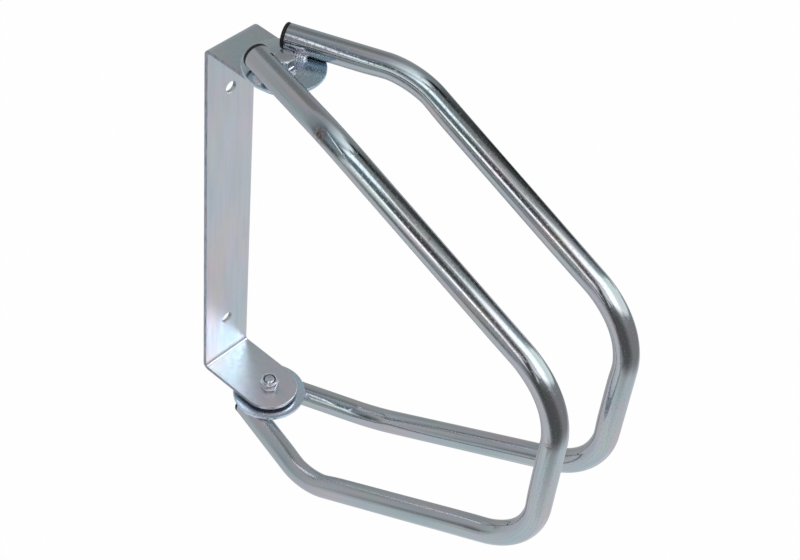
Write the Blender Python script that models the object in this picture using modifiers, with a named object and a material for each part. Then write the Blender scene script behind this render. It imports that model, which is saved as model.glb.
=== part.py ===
"""Wall-mounted bike rack.

A strip of flat bar, bent to a U, is screwed to a wall. A cradle of two bent tube hoops, welded to a disc
at each end, swings between the bracket's flanges on two bolts, and a bicycle's wheel stands between the
hoops. Units are metres, +Z is up and the wall is the plane Y = 0, with the rack on its -Y side.
"""

import math

import bmesh
import bpy
from mathutils import Matrix, Vector

MM = 0.001

# Gap kept between pieces that touch
FIT = 0.3 * MM

# Wall bracket, bent from flat bar
BAR_WIDTH = 44 * MM
BAR_THICKNESS = 3 * MM
BRACKET_HEIGHT = 316 * MM
BEND_INNER_RADIUS = 2.5 * MM
SCREW_HOLE_D = 9 * MM
SCREW_SPACING = 230 * MM
BAR_EDGE = 0.5 * MM

# Pivot: an M8 bolt, washers and lock nut at each end
AXIS_FROM_WALL = 51.5 * MM
BOLT_D = 8 * MM
BOLT_HEAD_HEIGHT = 5.3 * MM
BOLT_STANDS_PAST_NUT = 0.2 * MM
BOLT_TIP_CHAMFER = 0.6 * MM
NUT_HEX_HEIGHT = 5.9 * MM
NUT_COLLAR_HEIGHT = 2.1 * MM
NUT_COLLAR_WALL = 0.7 * MM
NUT_COLLAR_LIP = 0.4 * MM
INSERT_RING = 0.7 * MM
HEX_SHOULDER = 0.5 * MM
HEX_CROWN_INSET = 0.3 * MM
HEX_CHAMFER = math.radians(30)
BOLT_HEAD_TURN = math.radians(30)
LOWER_NUT_TURN = math.radians(-5)
HEAD_WASHER_RING = 3.2 * MM
HEAD_WASHER_THICKNESS = 1.6 * MM
SPACER_RING = 7.7 * MM
SPACER_THICKNESS = 2.2 * MM
SMALL_EDGE = 0.3 * MM

# Discs that the tubes are welded to
DISC_THICKNESS = 2.5 * MM
DISC_RIM = 1.5 * MM

# Tube hoops
TUBE_D = 18 * MM
TUBE_WALL = 1.5 * MM
WHEEL_GAP = 65 * MM
SPLAY = math.radians(17.5)
ARM_CLEARANCE = 1 * MM
ARM_TAIL = 5 * MM
FRONT_REACH = 264 * MM
FRONT_BAR_HEIGHT = 146 * MM
BEND_RADIUS = 64 * MM

# Black end plugs
PLUG_CAP = 2.2 * MM
PLUG_CAP_EDGE = 0.9 * MM
PLUG_INSERT = 11 * MM
PLUG_RIB_DEPTH = 0.8 * MM
PLUG_SKIN = 1.2 * MM
PLUG_RIBS = 3

# Weld beads
WELD_RADIUS = 3.6 * MM
WELD_ROOT = 2 * MM
WELD_LENGTH = 10 * MM
WELD_AHEAD_OF_AXIS = 6.5 * MM
WELD_END_TAPER = 0.35
WELD_RIPPLES = 5
WELD_RIPPLE_DEPTH = 0.2 * MM
WELD_SIDES = 12

# The cradle stands a little to one side, as it does in the picture
REST_SWIVEL = math.radians(4.6)

# Segments of round forms
DISC_SEGMENTS = 52
SMALL_SEGMENTS = 20
TUBE_SIDES = 20
BEND_STEP = math.radians(7)
END_SEGMENTS = 20
BEND_SEGMENTS = 5
SHARP_ANGLE = math.radians(32)

# How far a cutter runs past what it cuts
CUT_ROOM = 20 * MM

# What follows from the sizes above
HALF_HEIGHT = BRACKET_HEIGHT / 2
BOLT_RADIUS = BOLT_D / 2
BORE_RADIUS = BOLT_RADIUS + FIT
INSERT_RADIUS = BORE_RADIUS + INSERT_RING
GROOVE_RADIUS = INSERT_RADIUS + FIT
COLLAR_RADIUS = GROOVE_RADIUS + NUT_COLLAR_WALL
HEX_FLAT_RADIUS = COLLAR_RADIUS + HEX_SHOULDER
HEX_CORNER_RADIUS = HEX_FLAT_RADIUS / math.cos(math.pi / 6)
HEX_CROWN_RADIUS = HEX_FLAT_RADIUS - HEX_CROWN_INSET
HEX_BLANK_RADIUS = HEX_CORNER_RADIUS + FIT
HEX_CHAMFER_DEPTH = (HEX_BLANK_RADIUS - HEX_CROWN_RADIUS) * math.tan(HEX_CHAMFER)
HEAD_WASHER_RADIUS = BORE_RADIUS + HEAD_WASHER_RING
SPACER_RADIUS = BORE_RADIUS + SPACER_RING
TUBE_RADIUS = TUBE_D / 2
TUBE_BORE_RADIUS = TUBE_RADIUS - TUBE_WALL
ARM_OFFSET = max(HEAD_WASHER_RADIUS, HEX_CORNER_RADIUS) + ARM_CLEARANCE + TUBE_RADIUS
SIDE_OFFSET = WHEEL_GAP / 2 + TUBE_RADIUS
DISC_RADIUS = ARM_OFFSET + TUBE_RADIUS + DISC_RIM

# Heights above the bracket's middle, going out from the flange's outer face
SPACER_Z = HALF_HEIGHT + FIT
DISC_Z = SPACER_Z + SPACER_THICKNESS + FIT
DISC_FACE_Z = DISC_Z + DISC_THICKNESS
HEAD_WASHER_Z = DISC_FACE_Z + FIT
HEAD_Z = HEAD_WASHER_Z + HEAD_WASHER_THICKNESS + FIT
TUBE_Z = DISC_FACE_Z + FIT + TUBE_RADIUS
NUT_Z = HALF_HEIGHT - BAR_THICKNESS - FIT
NUT_HEIGHT = NUT_HEX_HEIGHT + NUT_COLLAR_HEIGHT

# Colours (red, green, blue), roughness and metallic value
ZINC = ((0.62, 0.65, 0.68), 0.28, 1.0)
ZINC_PLATE = ((0.60, 0.61, 0.66), 0.42, 1.0)
BRIGHT_ZINC = ((0.72, 0.74, 0.76), 0.22, 1.0)
WELD_ZINC = ((0.58, 0.59, 0.60), 0.45, 1.0)
BLACK_PLASTIC = ((0.02, 0.02, 0.022), 0.5, 0.0)
NYLON = ((0.06, 0.06, 0.065), 0.45, 0.0)


def clear_scene():
    """Remove what a new Blender file holds."""
    for obj in list(bpy.data.objects):
        bpy.data.objects.remove(obj, do_unlink=True)


def new_collection(name):
    """A collection in the scene."""
    collection = bpy.data.collections.new(name)
    bpy.context.scene.collection.children.link(collection)
    return collection


def new_material(name, finish):
    """A Principled material of the given colour, roughness and metallic value."""
    colour, roughness, metallic = finish
    material = bpy.data.materials.new(name)
    material.use_nodes = True
    shader = material.node_tree.nodes["Principled BSDF"]
    shader.inputs["Base Color"].default_value = (*colour, 1.0)
    shader.inputs["Roughness"].default_value = roughness
    shader.inputs["Metallic"].default_value = metallic
    material.diffuse_color = (*colour, 1.0)
    return material


def add_part(name, mesh, finish, parent=None, matrix=None):
    """One named piece of the rack, with a material of its own."""
    obj = bpy.data.objects.new(name, mesh)
    parts.objects.link(obj)
    obj.parent = parent
    obj.matrix_local = matrix or Matrix()
    mesh.materials.append(new_material(name, finish))
    mesh.shade_smooth()
    mesh.set_sharp_from_angle(angle=SHARP_ANGLE)
    return obj


def add_cutter(name, mesh, parent=None, matrix=None):
    """A guide shape that only cuts others."""
    obj = bpy.data.objects.new(name, mesh)
    cutters.objects.link(obj)
    obj.parent = parent
    obj.matrix_local = matrix or Matrix()
    obj.hide_render = True
    obj.display_type = "WIRE"
    return obj


def boolean(obj, cutter, operation):
    """An exact Boolean of obj with a cutter."""
    modifier = obj.modifiers.new(f"{operation.lower()} {cutter.name}", "BOOLEAN")
    modifier.operation = operation
    modifier.solver = "EXACT"
    modifier.object = cutter


def even_shading(obj):
    """Keep flat faces flat to the eye next to small round edges."""
    modifier = obj.modifiers.new("even shading", "WEIGHTED_NORMAL")
    modifier.keep_sharp = True


def cylinder_mesh(name, radius, length, segments):
    """A closed cylinder about Z, centred on the origin."""
    bm = bmesh.new()
    bmesh.ops.create_cone(
        bm, cap_ends=True, segments=segments, radius1=radius, radius2=radius, depth=length
    )
    mesh = bpy.data.meshes.new(name)
    bm.to_mesh(mesh)
    bm.free()
    return mesh


def curve_to_mesh(curve, name):
    """The mesh of a curve, with its loose caps welded."""
    obj = bpy.data.objects.new(name + " curve", curve)
    bpy.context.scene.collection.objects.link(obj)
    evaluated = obj.evaluated_get(bpy.context.evaluated_depsgraph_get())
    mesh = bpy.data.meshes.new_from_object(evaluated)
    mesh.name = name
    bpy.data.objects.remove(obj, do_unlink=True)
    bm = bmesh.new()
    bm.from_mesh(mesh)
    bmesh.ops.remove_doubles(bm, verts=bm.verts, dist=0.001 * MM)
    bm.to_mesh(mesh)
    bm.free()
    return mesh


def outline_mesh(name, points, thickness):
    """A flat outline in XY, filled and made as thick along Z as asked."""
    curve = bpy.data.curves.new(name, "CURVE")
    curve.dimensions = "2D"
    curve.fill_mode = "BOTH"
    curve.extrude = thickness / 2
    spline = curve.splines.new("POLY")
    spline.points.add(len(points) - 1)
    for point, (x, y) in zip(spline.points, points):
        point.co = (x, y, 0, 1)
    spline.use_cyclic_u = True
    return curve_to_mesh(curve, name)


def tube_mesh(name, path, radii, sides, caps):
    """A round tube along a path of points; radii holds one radius for each point."""
    curve = bpy.data.curves.new(name, "CURVE")
    curve.dimensions = "3D"
    curve.fill_mode = "FULL"
    curve.bevel_depth = 1.0
    curve.bevel_resolution = sides // 2 - 2
    curve.use_fill_caps = caps
    spline = curve.splines.new("POLY")
    spline.points.add(len(path) - 1)
    for point, place, radius in zip(spline.points, path, radii):
        point.co = (*place, 1)
        point.radius = radius
    return curve_to_mesh(curve, name)


def profile_mesh(name, profile, closed):
    """A turned piece's profile in XZ, from points of radius and height."""
    bm = bmesh.new()
    verts = [bm.verts.new((radius, 0, height)) for radius, height in profile]
    for start, end in zip(verts, verts[1:]):
        bm.edges.new((start, end))
    if closed:
        bm.edges.new((verts[-1], verts[0]))
    mesh = bpy.data.meshes.new(name)
    bm.to_mesh(mesh)
    bm.free()
    return mesh


def add_turned(name, profile, closed, segments, finish, parent, matrix):
    """A piece turned about its own Z axis."""
    obj = add_part(name, profile_mesh(name, profile, closed), finish, parent, matrix)
    screw = obj.modifiers.new("turn", "SCREW")
    screw.axis = "Z"
    screw.steps = segments
    screw.render_steps = segments
    screw.use_merge_vertices = True
    screw.merge_threshold = 0.001 * MM
    screw.use_smooth_shade = True
    return obj


def flipped(sign, z):
    """A frame at height z on a pivot's axis, turned over for the lower end, where sign is -1."""
    turn = Matrix() if sign > 0 else Matrix.Rotation(math.pi, 4, "X")
    return Matrix.Translation((0, 0, sign * z)) @ turn


def arc(centre, radius, start, end, segments):
    """Points on a circle's arc in 2D, both ends included."""
    angles = [start + (end - start) * i / segments for i in range(segments + 1)]
    return [(centre[0] + radius * math.cos(a), centre[1] + radius * math.sin(a)) for a in angles]


def rounded_path(corners, radius, step):
    """The corner points joined by straight runs and round bends, a point every step of turn."""
    path = [corners[0]]
    for before, corner, after in zip(corners, corners[1:], corners[2:]):
        into = (corner - before).normalized()
        out = (after - corner).normalized()
        turn = into.angle(out)
        room = min((corner - before).length, (after - corner).length) / 2
        bend = min(radius, room / math.tan(turn / 2))
        start = corner - into * bend * math.tan(turn / 2)
        axis = into.cross(out).normalized()
        centre = start + axis.cross(into) * bend
        count = math.ceil(turn / step)
        for i in range(count + 1):
            path.append(centre + Matrix.Rotation(turn * i / count, 3, axis) @ (start - centre))
    path.append(corners[-1])
    return path


def make_bracket():
    """The wall bracket: a bent strip, rounded at its flange ends, with screw and bolt holes."""
    outer = BAR_THICKNESS + BEND_INNER_RADIUS
    inner = BEND_INNER_RADIUS
    reach = AXIS_FROM_WALL + BAR_WIDTH / 2
    bend = HALF_HEIGHT - outer
    face = HALF_HEIGHT - BAR_THICKNESS
    quarter = math.pi / 2
    inside = [(reach, face), *arc((outer, bend), inner, quarter, 2 * quarter, BEND_SEGMENTS)]
    outside = [*arc((outer, bend), outer, 2 * quarter, quarter, BEND_SEGMENTS), (reach, HALF_HEIGHT)]
    side_view = [
        *inside,
        *[(x, -z) for x, z in reversed(inside)],
        *[(x, -z) for x, z in reversed(outside)],
        *outside,
    ]
    strip = outline_mesh("wall_bracket", side_view, BAR_WIDTH)
    # The outline's X turns to point away from the wall and its Y up
    strip.transform(Matrix(((0, 0, -1, 0), (-1, 0, 0, 0), (0, 1, 0, 0), (0, 0, 0, 1))))
    bracket = add_part("wall_bracket", strip, ZINC_PLATE)

    half = BAR_WIDTH / 2
    side = half + FIT
    plan = [(side, CUT_ROOM), (-side, CUT_ROOM), (-side, -AXIS_FROM_WALL)]
    plan += arc((0, -AXIS_FROM_WALL), half, math.pi, 2 * math.pi, END_SEGMENTS)
    plan += [(side, -AXIS_FROM_WALL)]
    ends = add_cutter("flange plan", outline_mesh("flange plan", plan, BRACKET_HEIGHT + CUT_ROOM))
    boolean(bracket, ends, "INTERSECT")

    bolt_hole = cylinder_mesh("bolt hole", BORE_RADIUS, BRACKET_HEIGHT + CUT_ROOM, SMALL_SEGMENTS)
    place = Matrix.Translation((0, -AXIS_FROM_WALL, 0))
    boolean(bracket, add_cutter("bolt hole", bolt_hole, matrix=place), "DIFFERENCE")
    for name, sign in (("upper screw hole", 1), ("lower screw hole", -1)):
        hole = cylinder_mesh(name, SCREW_HOLE_D / 2, BAR_THICKNESS + CUT_ROOM, SMALL_SEGMENTS)
        place = Matrix.Translation((0, -BAR_THICKNESS / 2, sign * SCREW_SPACING / 2))
        place = place @ Matrix.Rotation(math.pi / 2, 4, "X")
        boolean(bracket, add_cutter(name, hole, matrix=place), "DIFFERENCE")

    bevel = bracket.modifiers.new("worn edges", "BEVEL")
    bevel.width = BAR_EDGE
    bevel.segments = 1
    bevel.limit_method = "ANGLE"
    bevel.angle_limit = math.radians(50)
    even_shading(bracket)


def make_ring(name, inner, outer, thickness, matrix, parent, finish, segments):
    """A washer or disc from z = 0 up, its outer edges broken."""
    profile = [
        (inner, thickness),
        (outer - SMALL_EDGE, thickness),
        (outer, thickness - SMALL_EDGE),
        (outer, SMALL_EDGE),
        (outer - SMALL_EDGE, 0),
        (inner, 0),
    ]
    even_shading(add_turned(name, profile, True, segments, finish, parent, matrix))


def cut_flats(obj, reach, matrix, parent):
    """Cut a turned blank to six flats, as far as reach each way along its axis."""
    name = obj.name + " flats"
    prism = cylinder_mesh(name, HEX_CORNER_RADIUS, 2 * (reach + CUT_ROOM), 6)
    boolean(obj, add_cutter(name, prism, parent, matrix), "INTERSECT")
    even_shading(obj)


def make_bolt(name, sign, parent):
    """A hexagon bolt, its head outermost and its tip through the nut."""
    tip = HEAD_Z - (NUT_Z - NUT_HEIGHT) + BOLT_STANDS_PAST_NUT
    profile = [
        (0, BOLT_HEAD_HEIGHT),
        (HEX_CROWN_RADIUS, BOLT_HEAD_HEIGHT),
        (HEX_BLANK_RADIUS, BOLT_HEAD_HEIGHT - HEX_CHAMFER_DEPTH),
        (HEX_BLANK_RADIUS, 0),
        (BOLT_RADIUS, 0),
        (BOLT_RADIUS, BOLT_TIP_CHAMFER - tip),
        (BOLT_RADIUS - BOLT_TIP_CHAMFER, -tip),
        (0, -tip),
    ]
    frame = flipped(sign, HEAD_Z) @ Matrix.Rotation(BOLT_HEAD_TURN, 4, "Z")
    bolt = add_turned(name, profile, False, SMALL_SEGMENTS, BRIGHT_ZINC, parent, frame)
    cut_flats(bolt, tip, frame, parent)


def make_nut(name, sign, turn, parent):
    """A lock nut with a round collar, its base on the flange and its collar on the bracket's inner side."""
    lip = GROOVE_RADIUS - NUT_COLLAR_LIP
    groove = NUT_HEX_HEIGHT - FIT
    profile = [
        (lip, NUT_HEIGHT),
        (COLLAR_RADIUS - NUT_COLLAR_LIP, NUT_HEIGHT),
        (COLLAR_RADIUS, NUT_HEIGHT - NUT_COLLAR_LIP),
        (COLLAR_RADIUS, NUT_HEX_HEIGHT),
        (HEX_CROWN_RADIUS, NUT_HEX_HEIGHT),
        (HEX_BLANK_RADIUS, NUT_HEX_HEIGHT - HEX_CHAMFER_DEPTH),
        (HEX_BLANK_RADIUS, HEX_CHAMFER_DEPTH),
        (HEX_CROWN_RADIUS, 0),
        (BORE_RADIUS, 0),
        (BORE_RADIUS, groove),
        (GROOVE_RADIUS, groove),
        (GROOVE_RADIUS, NUT_HEIGHT - NUT_COLLAR_LIP),
    ]
    frame = flipped(-sign, -NUT_Z) @ Matrix.Rotation(turn, 4, "Z")
    nut = add_turned(name, profile, True, SMALL_SEGMENTS, BRIGHT_ZINC, parent, frame)
    cut_flats(nut, NUT_HEIGHT, frame, parent)


def make_insert(name, sign, parent):
    """The nylon ring that grips the bolt's thread inside the nut's collar."""
    height = NUT_COLLAR_HEIGHT - NUT_COLLAR_LIP - FIT
    profile = [(BORE_RADIUS, height), (INSERT_RADIUS, height), (INSERT_RADIUS, 0), (BORE_RADIUS, 0)]
    frame = flipped(-sign, NUT_HEX_HEIGHT - NUT_Z)
    even_shading(add_turned(name, profile, True, SMALL_SEGMENTS, NYLON, parent, frame))


def arm_frame(side):
    """Directions along an arm, away from the wall, and across it, away from the other arm."""
    along = Vector((side * math.sin(SPLAY), -math.cos(SPLAY), 0))
    across = Vector((side * math.cos(SPLAY), math.sin(SPLAY), 0))
    return along, across


def hoop_corners(side):
    """The corner points of a hoop's centre line in the cradle's frame, from its upper to its lower end."""
    along, across = arm_frame(side)
    tail = across * ARM_OFFSET - along * ARM_TAIL
    splayed = (SIDE_OFFSET * math.cos(SPLAY) - ARM_OFFSET) / math.sin(SPLAY)
    upper = [
        tail + Vector((0, 0, TUBE_Z)),
        Vector((side * SIDE_OFFSET, -splayed, TUBE_Z)),
        Vector((side * SIDE_OFFSET, -FRONT_REACH, FRONT_BAR_HEIGHT / 2)),
    ]
    return upper + [Vector((p.x, p.y, -p.z)) for p in reversed(upper)]


def make_hoop(name, side, parent):
    """One hoop: a tube with two arms, four bends and an upright front bar."""
    path = rounded_path(hoop_corners(side), BEND_RADIUS, BEND_STEP)
    mesh = tube_mesh(name, path, [TUBE_RADIUS] * len(path), TUBE_SIDES, False)
    hoop = add_part(name, mesh, ZINC, parent)
    wall = hoop.modifiers.new("wall", "SOLIDIFY")
    wall.thickness = TUBE_WALL
    wall.offset = -1


def end_frame(side, sign):
    """A tube end's frame: Z points out of the tube, along its axis."""
    along, across = arm_frame(side)
    place = across * ARM_OFFSET - along * ARM_TAIL + Vector((0, 0, sign * TUBE_Z))
    up = Vector((0, 0, 1))
    frame = Matrix((up.cross(-along), up, -along)).transposed().to_4x4()
    return Matrix.Translation(place) @ frame


def make_plug(name, side, sign, parent):
    """An end plug: a cap as wide as the tube, and a ribbed sleeve, open at its inner end, in the tube."""
    rib = TUBE_BORE_RADIUS - FIT
    core = rib - PLUG_RIB_DEPTH
    hollow = core - PLUG_SKIN
    pitch = PLUG_INSERT / (PLUG_RIBS + 1)
    top = FIT + PLUG_CAP
    profile = [
        (0, top),
        (TUBE_RADIUS - PLUG_CAP_EDGE, top),
        (TUBE_RADIUS, top - PLUG_CAP_EDGE),
        (TUBE_RADIUS, FIT),
        (core, FIT),
    ]
    for i in range(PLUG_RIBS):
        root = FIT - (i + 1) * pitch
        profile += [(core, root), (rib, root - PLUG_RIB_DEPTH / 2), (core, root - PLUG_RIB_DEPTH)]
    profile += [(core, -PLUG_INSERT), (hollow, -PLUG_INSERT), (hollow, FIT), (0, FIT)]
    plug = add_turned(name, profile, False, SMALL_SEGMENTS, BLACK_PLASTIC, parent, end_frame(side, sign))
    even_shading(plug)


def make_weld(name, side, sign, hand, parent, tube_cut, disc_cut):
    """A rippled bead in the wedge between a tube and its disc; hand is 1 on the arm's outer side."""
    along, across = arm_frame(side)
    under_tube = math.sqrt(TUBE_RADIUS**2 - (TUBE_RADIUS + FIT - WELD_ROOT) ** 2)
    middle = across * (ARM_OFFSET + hand * under_tube) + along * WELD_AHEAD_OF_AXIS
    middle.z = sign * (DISC_FACE_Z + FIT)
    path = []
    radii = []
    steps = 2 * WELD_RIPPLES
    for i in range(steps + 1):
        share = 2 * i / steps - 1
        groove = WELD_RIPPLE_DEPTH if i % 2 else 0.0
        path.append(middle + along * share * WELD_LENGTH / 2)
        radii.append(WELD_RADIUS * (1 - WELD_END_TAPER * share**2) - groove)
    bead = add_part(name, tube_mesh(name, path, radii, WELD_SIDES, True), WELD_ZINC, parent)
    boolean(bead, tube_cut, "DIFFERENCE")
    boolean(bead, disc_cut, "DIFFERENCE")


def make_arm_cutter(name, side, sign, parent):
    """The space that a tube's arm takes over its disc, with the gap round it."""
    length = 2 * (DISC_RADIUS + CUT_ROOM)
    mesh = cylinder_mesh(name, TUBE_RADIUS + FIT, length, 2 * TUBE_SIDES)
    middle = Matrix.Translation((0, 0, CUT_ROOM - length / 2))
    return add_cutter(name, mesh, parent, end_frame(side, sign) @ middle)


def make_end(word, sign, nut_turn, cradle, pivot):
    """The pieces at the upper or lower end, where sign is 1 or -1."""
    make_ring(word + "_disc", BORE_RADIUS, DISC_RADIUS, DISC_THICKNESS, flipped(sign, DISC_Z), cradle,
              ZINC_PLATE, DISC_SEGMENTS)
    make_ring(word + "_spacer_washer", BORE_RADIUS, SPACER_RADIUS, SPACER_THICKNESS,
              flipped(sign, SPACER_Z), pivot, BLACK_PLASTIC, SMALL_SEGMENTS)
    make_ring(word + "_head_washer", BORE_RADIUS, HEAD_WASHER_RADIUS, HEAD_WASHER_THICKNESS,
              flipped(sign, HEAD_WASHER_Z), pivot, BRIGHT_ZINC, SMALL_SEGMENTS)
    make_bolt(word + "_pivot_bolt", sign, pivot)
    make_nut(word + "_lock_nut", sign, nut_turn, pivot)
    make_insert(word + "_nut_insert", sign, pivot)

    below = DISC_THICKNESS + CUT_ROOM
    disc_space = cylinder_mesh(word + " disc space", DISC_RADIUS + FIT, below + FIT, DISC_SEGMENTS)
    place = Matrix.Translation((0, 0, sign * (DISC_FACE_Z + (FIT - below) / 2)))
    disc_cut = add_cutter(word + " disc space", disc_space, cradle, place)
    for hand, side in (("left", -1), ("right", 1)):
        make_plug(f"{hand}_{word}_end_plug", side, sign, cradle)
        arm_cut = make_arm_cutter(f"{hand} {word} arm space", side, sign, cradle)
        make_weld(f"{hand}_{word}_inner_weld", side, sign, -1, cradle, arm_cut, disc_cut)
        make_weld(f"{hand}_{word}_outer_weld", side, sign, 1, cradle, arm_cut, disc_cut)


def add_empty(name, angle):
    """An empty on the swivel's axis, turned by angle about it."""
    empty = bpy.data.objects.new(name, None)
    parts.objects.link(empty)
    empty.location = (0, -AXIS_FROM_WALL, 0)
    empty.rotation_euler = (0, 0, angle)
    return empty


clear_scene()
parts = new_collection("wall_bike_rack")
cutters = new_collection("cutters")
make_bracket()
fixed_pivot = add_empty("bolt axis", 0)
cradle_pivot = add_empty("cradle swivel", REST_SWIVEL)
make_hoop("left_hoop", -1, cradle_pivot)
make_hoop("right_hoop", 1, cradle_pivot)
make_end("upper", 1, 0, cradle_pivot, fixed_pivot)
make_end("lower", -1, LOWER_NUT_TURN, cradle_pivot, fixed_pivot)
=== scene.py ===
import math
from collections import namedtuple

import bmesh
import bpy
import numpy as np
from mathutils import Matrix, Vector, noise


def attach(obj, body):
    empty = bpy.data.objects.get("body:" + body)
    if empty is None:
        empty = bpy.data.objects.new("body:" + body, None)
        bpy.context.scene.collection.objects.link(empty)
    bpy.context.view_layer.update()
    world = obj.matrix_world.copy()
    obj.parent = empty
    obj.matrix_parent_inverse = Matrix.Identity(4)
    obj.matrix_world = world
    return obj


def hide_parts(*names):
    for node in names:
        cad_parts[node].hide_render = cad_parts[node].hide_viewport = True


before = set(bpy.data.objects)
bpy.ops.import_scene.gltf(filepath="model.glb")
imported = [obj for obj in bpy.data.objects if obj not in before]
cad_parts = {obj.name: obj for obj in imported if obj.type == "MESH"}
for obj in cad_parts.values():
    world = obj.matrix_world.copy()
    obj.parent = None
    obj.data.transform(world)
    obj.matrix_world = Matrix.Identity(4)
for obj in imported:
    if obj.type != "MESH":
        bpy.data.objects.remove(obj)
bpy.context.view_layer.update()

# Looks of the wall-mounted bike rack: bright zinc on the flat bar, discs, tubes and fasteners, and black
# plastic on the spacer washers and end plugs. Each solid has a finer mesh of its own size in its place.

MM = 0.001

# Sizes of the rack, the same as those of its solids
FIT = 0.3 * MM
BAR_WIDTH = 44 * MM
BAR_THICKNESS = 3 * MM
BRACKET_HEIGHT = 316 * MM
BEND_INNER_RADIUS = 2.5 * MM
SCREW_HOLE_D = 9 * MM
SCREW_SPACING = 230 * MM
AXIS_FROM_WALL = 51.5 * MM
BOLT_D = 8 * MM
BOLT_HEAD_HEIGHT = 5.3 * MM
BOLT_STANDS_PAST_NUT = 0.2 * MM
NUT_HEX_HEIGHT = 5.9 * MM
NUT_COLLAR_HEIGHT = 2.1 * MM
HEX_FLAT_RADIUS = 6.5 * MM
COLLAR_RADIUS = 6 * MM
INSERT_RADIUS = 5 * MM
HEAD_WASHER_RADIUS = 7.5 * MM
HEAD_WASHER_THICKNESS = 1.6 * MM
SPACER_RADIUS = 12 * MM
SPACER_THICKNESS = 2.2 * MM
DISC_RADIUS = 28 * MM
DISC_THICKNESS = 2.5 * MM
TUBE_RADIUS = 9 * MM
TUBE_WALL = 1.5 * MM
ARM_OFFSET = 17.5 * MM
SIDE_OFFSET = 41.5 * MM
SPLAY = math.radians(17.5)
ARM_TAIL = 5 * MM
FRONT_REACH = 264 * MM
FRONT_BAR_HEIGHT = 146 * MM
BEND_RADIUS = 64 * MM
REST_SWIVEL = math.radians(4.6)
BOLT_HEAD_TURN = math.radians(30)
LOWER_NUT_TURN = math.radians(-5)

# Edges of sheet, washers and hexagons
SHEET_EDGE = 0.45 * MM
WASHER_EDGE = 0.35 * MM
BEVEL_SEGMENTS = 3
BEVEL_ANGLE = math.radians(50)
CUT_EDGE_FACING = 0.9
HEX_CHAMFER = math.radians(30)
HEX_CROWN_INSET = 0.3 * MM
HEX_EDGE = 0.16 * MM

# The bolt's dished head, thread and tip; the thread's steepness and crest shape its wave from 0 to 1
HEAD_DISH = 0.12 * MM
HEAD_DISH_SHARE = 0.5
HEAD_DISH_RIM = 0.03 * MM
THREAD_PITCH = 1.25 * MM
THREAD_DEPTH = 0.5 * MM
THREAD_LENGTH = 7 * MM
THREAD_STEEPNESS = 1.25
THREAD_CREST = 0.1
TIP_CHAMFER = 0.7 * MM
TIP_DISH = 0.15 * MM
TIP_RIM_SHARE = 0.6
TIP_DISH_SHARE = 0.25

# The nut's collar, rolled over the nylon ring
COLLAR_LIP = 0.5 * MM
COLLAR_ROLL_DEPTH = 1.2
INSERT_DROP = 0.7 * MM
INSERT_EDGE = 0.2 * MM

# The tubes: flattened on the outside of their bends, pinched where these end, and faintly uneven, with an
# inset that keeps their waves inside the solids
BEND_FLATTENING = 0.45 * MM
BEND_PINCH = 0.5 * MM
BEND_PINCH_LENGTH = 9 * MM
TUBE_INSET = 0.13 * MM
TUBE_WAVE = 0.035 * MM
TUBE_WAVE_LENGTH = 38 * MM
TUBE_WAVE_ROUND = 3
TUBE_WAVE_SHIFT = 40
TUBE_END_EDGE = 0.3 * MM

# The end plugs
PLUG_CAP = 2.2 * MM
PLUG_EDGE = 1 * MM
PLUG_RIM_SHARE = 0.8
PLUG_DISH = 0.25 * MM
PLUG_DISH_SHARE = 0.7
PLUG_INSERT = 11 * MM
PLUG_SLEEVE_WALL = 1.2 * MM

# The weld beads, with the scales of their noise along and round the bead and its shift for each bead
WELD_RADIUS = 3.5 * MM
WELD_LENGTH = 10 * MM
WELD_AHEAD_OF_AXIS = 6.5 * MM
WELD_REACH = 0.62
WELD_LIFT = 0.6 * MM
WELD_ROOT = 0.8 * MM
WELD_END_GIRTH = 0.05
WELD_RIPPLES = 6
WELD_RIPPLE_DEPTH = 0.3 * MM
WELD_RIPPLE_LAG = 0.035
WELD_LUMPS = 0.45 * MM
WELD_SPATTER = 0.22 * MM
WELD_SPATTER_SCALE = 3.1
WELD_NOISE_ALONG = 4
WELD_NOISE_ROUND = 1.5
WELD_NOISE_SHIFT = (9, 5, 3)

# Segments of the fine meshes, and how they are shaded, merged and cut
TUBE_SIDES = 96
DISC_SIDES = 160
SMALL_SIDES = 96
HOLE_SIDES = 64
WELD_SIDES = 60
WELD_ROWS = 72
FLANGE_END_STEPS = 96
INNER_BEND_STEPS = 14
OUTER_BEND_STEPS = 20
THREAD_STEPS = 80
COLLAR_STEPS = 12
EDGE_STEPS = 4
PLUG_EDGE_STEPS = 5
TUBE_STEP = 4 * MM
BEND_STEP = math.radians(2)
SHARP_ANGLE = math.radians(30)
WELD_SHARP_ANGLE = math.radians(70)
MERGE_DISTANCE = 0.001 * MM
CUT_ROOM = 20 * MM

# What follows from the sizes
HALF_HEIGHT = BRACKET_HEIGHT / 2
BOLT_RADIUS = BOLT_D / 2
BORE_RADIUS = BOLT_RADIUS + FIT
HEX_CROWN = HEX_FLAT_RADIUS - HEX_CROWN_INSET
SPACER_Z = HALF_HEIGHT + FIT
DISC_Z = SPACER_Z + SPACER_THICKNESS + FIT
DISC_FACE_Z = DISC_Z + DISC_THICKNESS
HEAD_WASHER_Z = DISC_FACE_Z + FIT
HEAD_Z = HEAD_WASHER_Z + HEAD_WASHER_THICKNESS + FIT
TUBE_Z = DISC_FACE_Z + FIT + TUBE_RADIUS
NUT_Z = HALF_HEIGHT - BAR_THICKNESS - FIT
NUT_HEIGHT = NUT_HEX_HEIGHT + NUT_COLLAR_HEIGHT
PIVOT = Matrix.Translation((0, -AXIS_FROM_WALL, 0))
CRADLE = PIVOT @ Matrix.Rotation(REST_SWIVEL, 4, "Z")


# Meshes and objects

def keep_mesh(bm, name):
    """The mesh of a bmesh, which is then freed."""
    mesh = bpy.data.meshes.new(name)
    bm.to_mesh(mesh)
    bm.free()
    return mesh


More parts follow.
